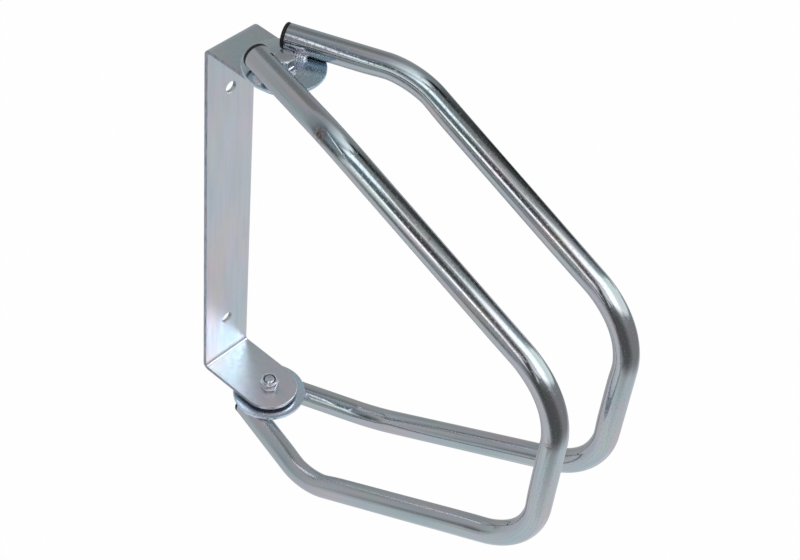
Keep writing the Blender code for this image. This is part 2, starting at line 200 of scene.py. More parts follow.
def add_object(name, data):
    """An object of a mesh or camera, in the scene."""
    obj = bpy.data.objects.new(name, data)
    bpy.context.scene.collection.objects.link(obj)
    return obj


def add_piece(name, node, mesh, material, body):
    """A piece of the rack that rides on a body and stands for a node's solid."""
    piece = add_object(name, mesh)
    mesh.materials.append(material)
    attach(piece, body)
    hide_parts(node)
    return piece


def shade(mesh, sharp):
    """Smooth shading, with the edges sharper than an angle left sharp."""
    mesh.shade_smooth()
    mesh.set_sharp_from_angle(angle=sharp)


def ring_mesh(name, rings, loop=False, sharp=SHARP_ANGLE, along=None):
    """A mesh through rings of equally many points, capped at both ends, or joined to itself if loop.

    With along, which is a length for each ring, its UV map gives metres round the tube and along it.
    """
    rings = np.asarray(rings, float)
    count, sides = rings.shape[:2]
    girth = 2 * math.pi * TUBE_RADIUS
    bm = bmesh.new()
    verts = [[bm.verts.new(point) for point in ring] for ring in rings]
    layer = bm.loops.layers.uv.new("Metres")
    for i in range(count if loop else count - 1):
        low = verts[i]
        high = verts[(i + 1) % count]
        for j in range(sides):
            k = (j + 1) % sides
            face = bm.faces.new((low[j], low[k], high[k], high[j]))
            if along is not None:
                places = ((j, i), (j + 1, i), (j + 1, i + 1), (j, i + 1))
                for corner, (a, b) in zip(face.loops, places):
                    corner[layer].uv = (a / sides * girth, along[b])
    if not loop:
        bm.faces.new(reversed(verts[0]))
        bm.faces.new(verts[-1])
    bmesh.ops.remove_doubles(bm, verts=bm.verts, dist=MERGE_DISTANCE)
    bmesh.ops.recalc_face_normals(bm, faces=bm.faces)
    mesh = keep_mesh(bm, name)
    shade(mesh, sharp)
    return mesh


def turn_angles(sides):
    """The angles of points spread evenly over one turn."""
    return np.arange(sides) / sides * 2 * math.pi


def circle(radius, height, sides):
    """A ring of points round Z; the radius and height may each be one value for every angle."""
    angle = turn_angles(sides)
    return np.stack([radius * np.cos(angle), radius * np.sin(angle), height + 0 * angle], -1)


def hexagon():
    """The radius of a bolt's or nut's hexagon at each angle, its corners slightly rounded."""
    sector = math.pi / 3
    radius = HEX_FLAT_RADIUS / np.cos((turn_angles(SMALL_SIDES) + sector / 2) % sector - sector / 2)
    corner = HEX_FLAT_RADIUS / math.cos(sector / 2) - HEX_EDGE / 2
    return np.minimum(radius, corner)


def placed(rings, matrix):
    """The rings moved by a matrix."""
    m = np.array(matrix)
    return [np.asarray(ring) @ m[:3, :3].T + m[:3, 3] for ring in rings]


def rounded(profile, radius, steps=EDGE_STEPS, closed=True):
    """A profile of radius and height with its corners rounded; an open one keeps its two ends."""
    points = [Vector(p) for p in profile]
    out = []
    count = len(points)
    for i, point in enumerate(points):
        if not closed and i in (0, count - 1):
            out.append(tuple(point))
            continue
        before = points[i - 1] - point
        after = points[(i + 1) % count] - point
        reach = min(radius, before.length / 2, after.length / 2)
        start = point + before.normalized() * reach
        end = point + after.normalized() * reach
        for k in range(steps + 1):
            t = k / steps
            out.append(tuple(start * (1 - t) ** 2 + point * 2 * t * (1 - t) + end * t**2))
    return out


def turned(name, profile, sides, matrix, closed=True):
    """A mesh turned about Z from a profile of radius and height."""
    rings = [circle(radius, height, sides) for radius, height in profile]
    return ring_mesh(name, placed(rings, matrix), loop=closed)


def flipped(sign, z):
    """A frame at height z on the pivot's axis, turned over for the lower end, where sign is -1."""
    turn = Matrix() if sign > 0 else Matrix.Rotation(math.pi, 4, "X")
    return Matrix.Translation((0, 0, sign * z)) @ turn


# Shader nodes

# A Mix node's sockets for colours: the factor and the two colours, and the result
MIX_INPUTS = (0, 6, 7)
MIX_RESULT = 2


def new_material(name):
    """A material, its node tree and its Principled shader."""
    material = bpy.data.materials.new(name)
    material.use_nodes = True
    tree = material.node_tree
    return material, tree, tree.nodes["Principled BSDF"]


def put(tree, socket, value):
    """Set an input to a value, or link it where the value is another node's output."""
    if isinstance(value, bpy.types.NodeSocket):
        tree.links.new(value, socket)
    elif socket.type == "RGBA":
        socket.default_value = (*value, 1)
    else:
        socket.default_value = value


def add_node(tree, kind, **values):
    """A node with its settings and inputs by name, where _ stands for a space."""
    node = tree.nodes.new(kind)
    for key, value in values.items():
        if hasattr(node, key):
            setattr(node, key, value)
        else:
            put(tree, node.inputs[key.replace("_", " ")], value)
    return node


def own_place(tree):
    """Coordinates in the piece's own space."""
    return add_node(tree, "ShaderNodeTexCoord").outputs["Object"]


def stretched(tree, source, scale):
    """Coordinates from the piece's own space or its Metres map, scaled along each axis."""
    if source == "Metres":
        place = add_node(tree, "ShaderNodeUVMap", uv_map="Metres").outputs["UV"]
    else:
        place = own_place(tree)
    return add_node(tree, "ShaderNodeMapping", Vector=place, Scale=scale).outputs["Vector"]


def noise_value(tree, vector, scale=1, detail=2, roughness=0.5):
    """A noise pattern from 0 to 1."""
    node = add_node(tree, "ShaderNodeTexNoise", Vector=vector, Scale=scale, Detail=detail)
    put(tree, node.inputs["Roughness"], roughness)
    return node.outputs["Fac"]


def remap(tree, value, low, high, to_low=0.0, to_high=1.0, kind="LINEAR"):
    """A value mapped from one range to another, and kept inside it."""
    node = add_node(tree, "ShaderNodeMapRange", interpolation_type=kind, Value=value)
    for key, number in (("From Min", low), ("From Max", high), ("To Min", to_low), ("To Max", to_high)):
        put(tree, node.inputs[key], number)
    return node.outputs["Result"]


def add_operation(tree, kind, operation, values):
    """A node that works something out from values, which fill its inputs in order."""
    node = add_node(tree, kind, operation=operation)
    for socket, value in zip(node.inputs, values):
        put(tree, socket, value)
    return node


def math_node(tree, operation, *values):
    """A sum, product or the like of numbers."""
    return add_operation(tree, "ShaderNodeMath", operation, values).outputs["Value"]


def vector_math(tree, operation, *values):
    """A vector worked out from vectors, or the number that a dot product, distance or length gives."""
    node = add_operation(tree, "ShaderNodeVectorMath", operation, values)
    number = operation in ("DOT_PRODUCT", "DISTANCE", "LENGTH")
    return node.outputs["Value" if number else "Vector"]


def mix_colour(tree, factor, a, b, blend="MIX"):
    """Two colours mixed by a factor."""
    node = add_node(tree, "ShaderNodeMix", data_type="RGBA", blend_type=blend)
    for index, value in zip(MIX_INPUTS, (factor, a, b)):
        put(tree, node.inputs[index], value)
    return node.outputs[MIX_RESULT]


def mix_shaders(tree, share, first, second):
    """The material's surface: a first shader, and a second one where the share is 1."""
    mix = add_node(tree, "ShaderNodeMixShader")
    for socket, output in zip(mix.inputs, (share, first, second)):
        tree.links.new(output, socket)
    tree.links.new(mix.outputs["Shader"], tree.nodes["Material Output"].inputs["Surface"])


def add_bump(tree, shader, layers):
    """Bumps on the shader's normal: pairs of a height from 0 to 1 and its depth in metres."""
    normal = None
    for height, depth in layers:
        bump = add_node(tree, "ShaderNodeBump", Height=height, Distance=depth)
        if normal:
            tree.links.new(normal, bump.inputs["Normal"])
        normal = bump.outputs["Normal"]
    tree.links.new(normal, shader.inputs["Normal"])


# Zinc plate. Each range says where in a noise pattern a tint, a shade or a dull place starts and is full.

BLUE_ZINC = (0.58, 0.67, 0.73)
LILAC_ZINC = (0.71, 0.63, 0.71)
GREEN_ZINC = (0.61, 0.68, 0.65)
STRAW_ZINC = (0.78, 0.69, 0.58)
LILAC_RANGE = (0.35, 0.65)
GREEN_RANGE = (0.45, 0.75)
GREEN_SHARE = 0.8
GREEN_SCALE = 2.3
STRAW_CLOUD_RANGE = (0.55, 0.72)
STRAW_STREAK_RANGE = (0.4, 0.7)
DARK_STREAK_RANGE = (0.42, 0.72)
ROUGH_STREAK_RANGE = (0.3, 0.8)
SPECK_SCALE = (900, 500, 900)
SPECK_RANGE = (0.52, 0.68)

# Brown rust stains on the near tube: place and reach
RUST = (0.4, 0.2, 0.15)
RUST_SCALE = 420
RUST_RANGE = (0.35, 0.6)
RUST_CORE = 0.2
RUST_STAINS = (
    ((-0.0418, -0.1235, 0.1745), 8 * MM),
    ((-0.0292, -0.3188, 0.0382), 3.5 * MM),
    ((-0.0310, -0.2091, 0.1401), 2.2 * MM),
)


def zinc_colour(tree, slow, other, fine, dark, tint):
    """Clouds of blue, lilac, green and straw, darker in their streaks."""
    colour = mix_colour(tree, remap(tree, slow, *LILAC_RANGE), BLUE_ZINC, LILAC_ZINC)
    colour = mix_colour(tree, remap(tree, other, *GREEN_RANGE, 0, GREEN_SHARE), colour, GREEN_ZINC)
    straw = remap(tree, slow, *STRAW_CLOUD_RANGE)
    straw = math_node(tree, "MULTIPLY", straw, remap(tree, fine, *STRAW_STREAK_RANGE))
    colour = mix_colour(tree, straw, colour, STRAW_ZINC)
    level = remap(tree, fine, *DARK_STREAK_RANGE, 1, 1 - dark)
    grey = add_node(tree, "ShaderNodeCombineColor", Red=level, Green=level, Blue=level).outputs["Color"]
    colour = mix_colour(tree, 1, colour, grey, "MULTIPLY")
    return mix_colour(tree, 1, colour, tint, "MULTIPLY")


def zinc(name, source, streak, cloud, peel, roughness, depths, dark, tint, specks):
    """Bright zinc plate: tinted clouds, streaks along the metal's drawn or rolled direction, fine bumps.

    source gives the patterns' coordinates, and streak, cloud and peel their scale along each axis. roughness
    is the lowest and the highest value, and depths are those of the orange peel and of the streaks. dark is
    how much the streaks darken, tint is multiplied with the colour, and specks is how dull the specks are.
    """
    material, tree, shader = new_material(name)
    clouds = stretched(tree, source, cloud)
    slow = noise_value(tree, clouds, detail=3, roughness=0.55)
    other = noise_value(tree, clouds, scale=GREEN_SCALE)
    fine = noise_value(tree, stretched(tree, source, streak), detail=3, roughness=0.55)
    spots = noise_value(tree, stretched(tree, source, SPECK_SCALE), roughness=0.6)
    waves = noise_value(tree, stretched(tree, source, peel))
    put(tree, shader.inputs["Base Color"], zinc_colour(tree, slow, other, fine, dark, tint))
    put(tree, shader.inputs["Metallic"], 1)
    smooth = remap(tree, fine, *ROUGH_STREAK_RANGE, *roughness)
    dull = remap(tree, spots, *SPECK_RANGE, 0, specks)
    put(tree, shader.inputs["Roughness"], math_node(tree, "ADD", smooth, dull))
    add_bump(tree, shader, [(waves, depths[0]), (fine, depths[1])])
    return material


def stain(material, stains):
    """Uneven brown stains over a zinc material, each at a place on the piece."""
    tree = material.node_tree
    socket = tree.nodes["Principled BSDF"].inputs["Base Color"]
    colour = socket.links[0].from_socket
    place = own_place(tree)
    uneven = noise_value(tree, place, scale=RUST_SCALE, detail=3, roughness=0.6)
    for spot, reach in stains:
        far = math_node(tree, "DIVIDE", vector_math(tree, "DISTANCE", place, spot), reach)
        near = remap(tree, far, RUST_CORE, 1, 1, 0)
        share = math_node(tree, "MULTIPLY", near, remap(tree, uneven, *RUST_RANGE))
        colour = mix_colour(tree, share, colour, RUST)
    tree.links.new(colour, socket)


tube_zinc = zinc(
    "tube_zinc",
    source="Metres",
    streak=(1100, 16, 1),
    cloud=(60, 14, 1),
    peel=(260, 90, 1),
    roughness=(0.03, 0.09),
    depths=(0.01 * MM, 0.004 * MM),
    dark=0.14,
    tint=(1.01, 1.0, 0.97),
    specks=0.3,
)
stain(tube_zinc, RUST_STAINS)
bar_zinc = zinc(
    "bar_zinc",
    source="Object",
    streak=(260, 260, 18),
    cloud=(24, 24, 9),
    peel=(300, 300, 300),
    roughness=(0.3, 0.42),
    depths=(0.008 * MM, 0.004 * MM),
    dark=0.06,
    tint=(1.22, 1.19, 1.15),
    specks=0.1,
)
cut_zinc = zinc(
    "cut_zinc",
    source="Object",
    streak=(900, 900, 120),
    cloud=(120, 120, 60),
    peel=(700, 700, 700),
    roughness=(0.35, 0.6),
    depths=(0.03 * MM, 0.03 * MM),
    dark=0.4,
    tint=(0.86, 0.84, 0.9),
    specks=0.1,
)
disc_zinc = zinc(
    "disc_zinc",
    source="Object",
    streak=(90, 500, 90),
    cloud=(30, 30, 30),
    peel=(420, 420, 420),
    roughness=(0.22, 0.3),
    depths=(0.008 * MM, 0.006 * MM),
    dark=0.1,
    tint=(1.24, 1.36, 1.4),
    specks=0,
)
fastener_zinc = zinc(
    "fastener_zinc",
    source="Object",
    streak=(300, 300, 300),
    cloud=(90, 90, 90),
    peel=(420, 420, 420),
    roughness=(0.05, 0.12),
    depths=(0.012 * MM, 0.008 * MM),
    dark=0.1,
    tint=(1.35, 1.35, 1.35),
    specks=0,
)
weld_zinc = zinc(
    "weld_zinc",
    source="Object",
    streak=(500, 500, 500),
    cloud=(120, 120, 120),
    peel=(420, 420, 420),
    roughness=(0.2, 0.42),
    depths=(0.06 * MM, 0.05 * MM),
    dark=0.1,
    tint=(1.2, 1.2, 1.2),
    specks=0.1,
)


# Plastics

GRAIN_SCALE = 2200
GRAIN_DEPTH = 0.02 * MM
SCUFF_SCALE = (300, 900, 300)
SCUFF_RANGE = (0.58, 0.75)
SCUFF_PALER = 2.6
SCUFF_LIGHT = 0.02
SCUFF_ROUGHER = 0.15


def plastic(name, colour, roughness):
    """Moulded plastic with a faint grain and a few scuffs."""
    material, tree, shader = new_material(name)
    grain = noise_value(tree, own_place(tree), scale=GRAIN_SCALE, roughness=0.6)
    scuffs = noise_value(tree, stretched(tree, "Object", SCUFF_SCALE), detail=4, roughness=0.7)
    worn = remap(tree, scuffs, *SCUFF_RANGE)
    pale = tuple(SCUFF_PALER * c + SCUFF_LIGHT for c in colour)
    put(tree, shader.inputs["Base Color"], mix_colour(tree, worn, colour, pale))
    put(tree, shader.inputs["Roughness"], remap(tree, worn, 0, 1, roughness, roughness + SCUFF_ROUGHER))
    add_bump(tree, shader, [(grain, GRAIN_DEPTH)])
    return material


black_plastic = plastic("black_plastic", (0.008, 0.008, 0.009), 0.5)
nylon = plastic("nylon", (0.05, 0.05, 0.055), 0.4)


# The bracket

def arc(centre, radius, start, end, steps):
    """Points on a circle's arc in 2D, both ends included."""
    angles = [start + (end - start) * i / steps for i in range(steps + 1)]
    return [(centre[0] + radius * math.cos(a), centre[1] + radius * math.sin(a)) for a in angles]


def prism(name, points, thickness):
    """A closed prism of a flat outline in XY, as thick along Z as asked."""
    bm = bmesh.new()
    face = bm.faces.new([bm.verts.new((x, y, -thickness / 2)) for x, y in points])
    raised = bmesh.ops.extrude_face_region(bm, geom=[face])["geom"]
    top = [part for part in raised if isinstance(part, bmesh.types.BMVert)]
    bmesh.ops.translate(bm, vec=(0, 0, thickness), verts=top)
    bmesh.ops.recalc_face_normals(bm, faces=bm.faces)
    return keep_mesh(bm, name)


def rod(name, radius, length):
    """A round rod along Z, to cut a hole with."""
    return prism(name, arc((0, 0), radius, 0, 2 * math.pi, HOLE_SIDES)[:-1], length)


def cut(obj, mesh, matrix, operation="DIFFERENCE"):
    """Apply a Boolean of obj with a mesh that is only needed for the cut."""
    tool = add_object(mesh.name, mesh)
    tool.matrix_world = matrix
    modifier = obj.modifiers.new("cut", "BOOLEAN")
    modifier.operation = operation
    modifier.solver = "EXACT"
    modifier.object = tool
    bpy.context.view_layer.update()
    depsgraph = bpy.context.evaluated_depsgraph_get()
    done = bpy.data.meshes.new_from_object(obj.evaluated_get(depsgraph))
    obj.modifiers.clear()
    obj.data = done
    bpy.data.objects.remove(tool, do_unlink=True)


def side_view():
    """The bent bar's outline seen from its side, as distances from the wall and heights."""
    outer = BAR_THICKNESS + BEND_INNER_RADIUS
    reach = AXIS_FROM_WALL + BAR_WIDTH / 2
    bend = (outer, HALF_HEIGHT - outer)
    quarter = math.pi / 2
    inside = [(reach, HALF_HEIGHT - BAR_THICKNESS)]
    inside += arc(bend, BEND_INNER_RADIUS, quarter, 2 * quarter, INNER_BEND_STEPS)
    outside = arc(bend, outer, 2 * quarter, quarter, OUTER_BEND_STEPS)
    outside += [(reach, HALF_HEIGHT)]
    return [
        *inside,
        *[(x, -z) for x, z in reversed(inside)],
        *[(x, -z) for x, z in reversed(outside)],
        *outside,
    ]


def plan_view():
    """The bar's outline seen from above: straight sides, and a round end about the pivot's axis."""
    half = BAR_WIDTH / 2
    side = half + FIT
    return [
        (side, CUT_ROOM),
        (-side, CUT_ROOM),
        (-side, -AXIS_FROM_WALL),
        *arc((0, -AXIS_FROM_WALL), half, math.pi, 2 * math.pi, FLANGE_END_STEPS),
        (side, -AXIS_FROM_WALL),
    ]


def bent_bar():
    """The bent bar, cut to its round ends, with its bores and screw holes."""
    strip = prism("bent_bar", side_view(), BAR_WIDTH)
    out_and_up = Matrix(((0, 0, -1, 0), (-1, 0, 0, 0), (0, 1, 0, 0), (0, 0, 0, 1)))
    strip.transform(out_and_up)
    bar = add_object("bent_bar", strip)
    height = BRACKET_HEIGHT + CUT_ROOM
    cut(bar, prism("plan", plan_view(), height), Matrix(), "INTERSECT")
    cut(bar, rod("bore", BORE_RADIUS, height), PIVOT)
    lying = Matrix.Rotation(math.pi / 2, 4, "X")
    for sign in (1, -1):
        place = Matrix.Translation((0, 0, sign * SCREW_SPACING / 2))
        cut(bar, rod("hole", SCREW_HOLE_D / 2, CUT_ROOM), place @ lying)
    mesh = bar.data
    bpy.data.objects.remove(bar, do_unlink=True)
    return mesh


def make_bracket():
    """The wall bracket with worn edges, rougher on its two cut sides."""
    mesh = bent_bar()
    shade(mesh, SHARP_ANGLE)
    piece = add_piece("bent_bar_bracket", "wall_bracket", mesh, bar_zinc, "bracket")
    mesh.materials.append(cut_zinc)
    for face in mesh.polygons:
        if abs(face.normal.x) > CUT_EDGE_FACING:
            face.material_index = 1
    bevel = piece.modifiers.new("worn edges", "BEVEL")
    bevel.width = SHEET_EDGE
    bevel.segments = BEVEL_SEGMENTS
    bevel.limit_method = "ANGLE"
    bevel.angle_limit = BEVEL_ANGLE
    piece.modifiers.new("even shading", "WEIGHTED_NORMAL").keep_sharp = True


# The pivots

def ring_profile(outer, thickness, edge):
    """The cross-section of a flat ring round the bore, with rounded edges."""
    return rounded([(BORE_RADIUS, thickness), (outer, thickness), (outer, 0), (BORE_RADIUS, 0)], edge)


def make_rings(word, sign):
    """The disc, the spacer washer and the head washer of one end."""
    disc = ring_profile(DISC_RADIUS, DISC_THICKNESS, SHEET_EDGE)
    spacer = ring_profile(SPACER_RADIUS, SPACER_THICKNESS, WASHER_EDGE)
    washer = ring_profile(HEAD_WASHER_RADIUS, HEAD_WASHER_THICKNESS, WASHER_EDGE)
    rows = (
        ("disc", disc, DISC_SIDES, CRADLE, DISC_Z, disc_zinc, "cradle", "zinc_disc"),
        ("spacer_washer", spacer, SMALL_SIDES, PIVOT, SPACER_Z, black_plastic, "bracket", "black_plastic"),
        ("head_washer", washer, SMALL_SIDES, PIVOT, HEAD_WASHER_Z, fastener_zinc, "bracket", "zinc_fastener"),
    )
    for part, profile, sides, base, height, material, body, slot in rows:
        name = f"{word}_{part}"
        mesh = turned(name, profile, sides, base @ flipped(sign, height))
        add_piece(name + "_fine", name, mesh, material, body)


def head_profile():
    """The bolt's head, from the middle of its dished top to the shank."""
    hex_radius = hexagon()
    slope = math.tan(HEX_CHAMFER)
    rim = BOLT_HEAD_HEIGHT - (hex_radius - HEX_CROWN) * slope
    return [
        (HEX_CROWN * HEAD_DISH_SHARE, BOLT_HEAD_HEIGHT - HEAD_DISH),
        (HEX_CROWN - 2 * HEX_EDGE, BOLT_HEAD_HEIGHT - HEAD_DISH_RIM),
        (HEX_CROWN - HEX_EDGE / 2, BOLT_HEAD_HEIGHT),
        (HEX_CROWN + HEX_EDGE / 2, BOLT_HEAD_HEIGHT - HEX_EDGE / 2 * slope),
        (hex_radius - HEX_EDGE, rim + HEX_EDGE * slope),
        (hex_radius, rim - HEX_EDGE),
        (hex_radius, HEX_EDGE),
        (hex_radius - HEX_EDGE, 0),
        (BOLT_RADIUS, 0),
    ]


def shank_profile(tip):
    """The bolt's plain shank, its thread and its dished tip, which lies tip below the head."""
    turn = np.arange(SMALL_SIDES) / SMALL_SIDES
    profile = [(BOLT_RADIUS, THREAD_LENGTH - tip)]
    for i in range(1, THREAD_STEPS + 1):
        above = THREAD_LENGTH * (1 - i / THREAD_STEPS)
        wave = np.abs(((above / THREAD_PITCH + turn) % 1) * 2 - 1)
        groove = THREAD_DEPTH * np.clip(THREAD_STEEPNESS * wave - THREAD_CREST, 0, 1)
        chamfer = max(0.0, TIP_CHAMFER - above)
        profile.append((BOLT_RADIUS - np.maximum(groove, chamfer), above - tip))
    profile.append((BOLT_RADIUS * TIP_RIM_SHARE, -tip))
    profile.append((BOLT_RADIUS * TIP_DISH_SHARE, TIP_DISH - tip))
    return profile


def make_bolt(word, sign):
    """A hexagon bolt with a chamfered head and thread at its tip."""
    name = word + "_pivot_bolt"
    tip = HEAD_Z - (NUT_Z - NUT_HEIGHT) + BOLT_STANDS_PAST_NUT
    place = PIVOT @ flipped(sign, HEAD_Z) @ Matrix.Rotation(BOLT_HEAD_TURN, 4, "Z")
    mesh = turned(name, head_profile() + shank_profile(tip), SMALL_SIDES, place, closed=False)
    add_piece(name + "_fine", name, mesh, fastener_zinc, "bracket")


def nut_profile():
    """A lock nut's cross-section: chamfered hexagon, rolled collar and a groove for the nylon ring."""
    hex_radius = hexagon()
    drop = (hex_radius - HEX_CROWN) * math.tan(HEX_CHAMFER)
    chamfer = np.maximum(drop - HEX_EDGE, 0)
    groove = INSERT_RADIUS + FIT
    lip = groove - COLLAR_LIP
    middle = (lip + COLLAR_RADIUS) / 2
    half = COLLAR_RADIUS - middle
    top = NUT_HEIGHT - half
    return [
        (BORE_RADIUS, FIT),
        (BORE_RADIUS + FIT, 0),
        (HEX_CROWN, 0),
        (hex_radius - HEX_EDGE, chamfer),
        (hex_radius, drop + HEX_EDGE),
        (hex_radius, NUT_HEX_HEIGHT - drop - HEX_EDGE),
        (hex_radius - HEX_EDGE, NUT_HEX_HEIGHT - chamfer),
        (HEX_CROWN, NUT_HEX_HEIGHT),
        (COLLAR_RADIUS + FIT / 2, NUT_HEX_HEIGHT),
        (COLLAR_RADIUS, NUT_HEX_HEIGHT + FIT / 2),
        *arc((middle, top), half, 0, math.pi, COLLAR_STEPS),
        (lip, NUT_HEIGHT - COLLAR_ROLL_DEPTH * half),
        (groove, NUT_HEIGHT - COLLAR_ROLL_DEPTH * half),
        (groove, NUT_HEX_HEIGHT - FIT),
        (BORE_RADIUS, NUT_HEX_HEIGHT - FIT),
    ]


def make_nut(word, sign, turn):
    """The lock nut of one end, turned about the axis as in the photograph."""
    name = word + "_lock_nut"
    place = PIVOT @ flipped(-sign, -NUT_Z) @ Matrix.Rotation(turn, 4, "Z")
    mesh = turned(name, nut_profile(), SMALL_SIDES, place)
    add_piece(name + "_fine", name, mesh, fastener_zinc, "bracket")


def make_insert(word, sign):
    """The nylon ring in the nut's collar."""
    name = word + "_nut_insert"
    profile = ring_profile(INSERT_RADIUS, NUT_COLLAR_HEIGHT - INSERT_DROP, INSERT_EDGE)
    mesh = turned(name, profile, SMALL_SIDES, PIVOT @ flipped(-sign, NUT_HEX_HEIGHT - NUT_Z))
    add_piece(name + "_fine", name, mesh, nylon, "bracket")


# The hoops

# A place on a tube's centre line: the point, where it heads, the way out of the bend or None, and how bent
# the tube is there, from 0 to 1
Station = namedtuple("Station", "point heading outward bent")


def arm_frame(side):
    """Directions along an arm, away from the wall, and across it, away from the other arm."""
    along = Vector((side * math.sin(SPLAY), -math.cos(SPLAY), 0))
    across = Vector((side * math.cos(SPLAY), math.sin(SPLAY), 0))
    return along, across


def hoop_corners(side):
    """The corner points of a hoop's centre line in the cradle's frame, from its upper to its lower end."""
    along, across = arm_frame(side)
    tail = across * ARM_OFFSET - along * ARM_TAIL
    splayed = (SIDE_OFFSET * math.cos(SPLAY) - ARM_OFFSET) / math.sin(SPLAY)
    upper = [
        tail + Vector((0, 0, TUBE_Z)),
        Vector((side * SIDE_OFFSET, -splayed, TUBE_Z)),
        Vector((side * SIDE_OFFSET, -FRONT_REACH, FRONT_BAR_HEIGHT / 2)),
    ]
    return upper + [Vector((p.x, p.y, -p.z)) for p in reversed(upper)]


def straight_stations(start, end, heading, to_end=False):
    """Stations along a straight run, with its very end only where that is asked for."""
    runs = max(1, round((end - start).length / TUBE_STEP))
    count = runs + 1 if to_end else runs
    return [Station(start.lerp(end, i / runs), heading, None, 0.0) for i in range(count)]


def bend_stations(start, into, centre, axis, turn):
    """Stations round a bend from its start, without its very end."""
    stations = []
    count = math.ceil(turn / BEND_STEP)
    for i in range(count):
        spin = Matrix.Rotation(turn * i / count, 3, axis)
        point = centre + spin @ (start - centre)
        bent = math.sin(math.pi * i / count)
        stations.append(Station(point, spin @ into, (point - centre).normalized(), bent))
    return stations


def hoop_stations(corners):
    """Stations along a hoop, from its upper to its lower end."""
    stations = []
    last = corners[0]
    for before, corner, after in zip(corners, corners[1:], corners[2:]):
        into = (corner - before).normalized()
        out = (after - corner).normalized()
        turn = into.angle(out)
        room = min((corner - before).length, (after - corner).length) / 2
        bend = min(BEND_RADIUS, room / math.tan(turn / 2))
        start = corner - into * bend * math.tan(turn / 2)
        axis = into.cross(out).normalized()
        centre = start + axis.cross(into) * bend
        stations += straight_stations(last, start, into)
        stations += bend_stations(start, into, centre, axis, turn)
        last = centre + Matrix.Rotation(turn, 3, axis) @ (start - centre)
    end = corners[-1]
    return stations + straight_stations(last, end, (end - last).normalized(), to_end=True)


def bend_ends(stations):
    """Where along a hoop each bend starts and ends, with the way out of the bend there."""
    ends = []
    length = 0.0
    for before, here in zip(stations, stations[1:]):
        length += (here.point - before.point).length
        if (before.outward is None) != (here.outward is None):
            ends.append((length, here.outward or before.outward))
    return ends


def facing(across, over, way):
    """How far each point round the tube faces a way: 1 straight towards it, 0 from square to it on."""
    angle = turn_angles(TUBE_SIDES)
    return np.clip(np.cos(angle) * way.dot(across) + np.sin(angle) * way.dot(over), 0, 1)


def tube_wave(length, side):
    """How far each point round the tube stands out, at a length along it."""
    wave = []
    for angle in turn_angles(TUBE_SIDES):
        x = TUBE_WAVE_ROUND * math.cos(angle)
        y = TUBE_WAVE_ROUND * math.sin(angle)
        z = length / TUBE_WAVE_LENGTH + TUBE_WAVE_SHIFT * side
        wave.append(TUBE_WAVE * noise.noise(Vector((x, y, z))))
    return np.array(wave)


def tube_radii(station, length, across, over, pinches, side):
    """The tube's radius on each side at one station: flattened in a bend, pinched at its ends, uneven."""
    radii = np.full(TUBE_SIDES, TUBE_RADIUS - TUBE_INSET)
    if station.outward:
        radii -= BEND_FLATTENING * station.bent * facing(across, over, station.outward) ** 2
    for place, out in pinches:
        share = math.exp(-(((length - place) / BEND_PINCH_LENGTH) ** 2))
        radii -= BEND_PINCH * share * facing(across, over, -out) ** 2
    return radii + tube_wave(length, side)


def tube_ring(point, across, over, radii):
    """A ring of points round a tube's centre line, with one radius for each side."""
    angle = turn_angles(TUBE_SIDES)
    spokes = np.outer(np.cos(angle), across) + np.outer(np.sin(angle), over)
    return np.array(point) + spokes * radii[:, None]


def end_rings(ring, point, inward):
    """Rings of a tube's open end, from its outer edge over the cut face into the bore."""
    bore = TUBE_RADIUS - TUBE_WALL
    rows = (
        (TUBE_RADIUS, TUBE_END_EDGE),
        (TUBE_RADIUS - TUBE_END_EDGE, 0),
        (bore + TUBE_END_EDGE, 0),
        (bore, TUBE_END_EDGE),
        (bore, 2 * PLUG_INSERT),
    )
    spokes = ring - np.array(point)
    return [np.array(point + inward * depth) + spokes * (radius / TUBE_RADIUS) for radius, depth in rows]


def make_hoop(name, side):
    """One bent tube, slightly flattened and pinched in its bends, and open at both ends."""
    stations = hoop_stations(hoop_corners(side))
    pinches = bend_ends(stations)
    start, end = stations[0], stations[-1]
    across = Vector((0, 0, 1)).cross(start.heading).normalized()
    rings = []
    lengths = []
    length = 0.0
    previous = start
    for station in stations:
        across = (across - station.heading * across.dot(station.heading)).normalized()
        over = station.heading.cross(across)
        length += (station.point - previous.point).length
        previous = station
        radii = tube_radii(station, length, across, over, pinches, side)
        rings.append(tube_ring(station.point, across, over, radii))
        lengths.append(length)
    first = end_rings(rings[0], start.point, start.heading)
    last = end_rings(rings[-1], end.point, -end.heading)
    rings = first[::-1] + rings[1:-1] + last
    lengths = [0.0] * len(first) + lengths[1:-1] + [length] * len(last)
    mesh = ring_mesh(name, placed(rings, CRADLE), along=lengths)
    add_piece(name + "_tube", name, mesh, tube_zinc, "cradle")


# Plugs and welds

def end_frame(side, sign):
    """A tube end's frame: Z points out of the tube, along its axis."""
    along, across = arm_frame(side)
    place = across * ARM_OFFSET - along * ARM_TAIL + Vector((0, 0, sign * TUBE_Z))
    up = Vector((0, 0, 1))
    turn = Matrix((up.cross(-along), up, -along)).transposed().to_4x4()
    return Matrix.Translation(place) @ turn


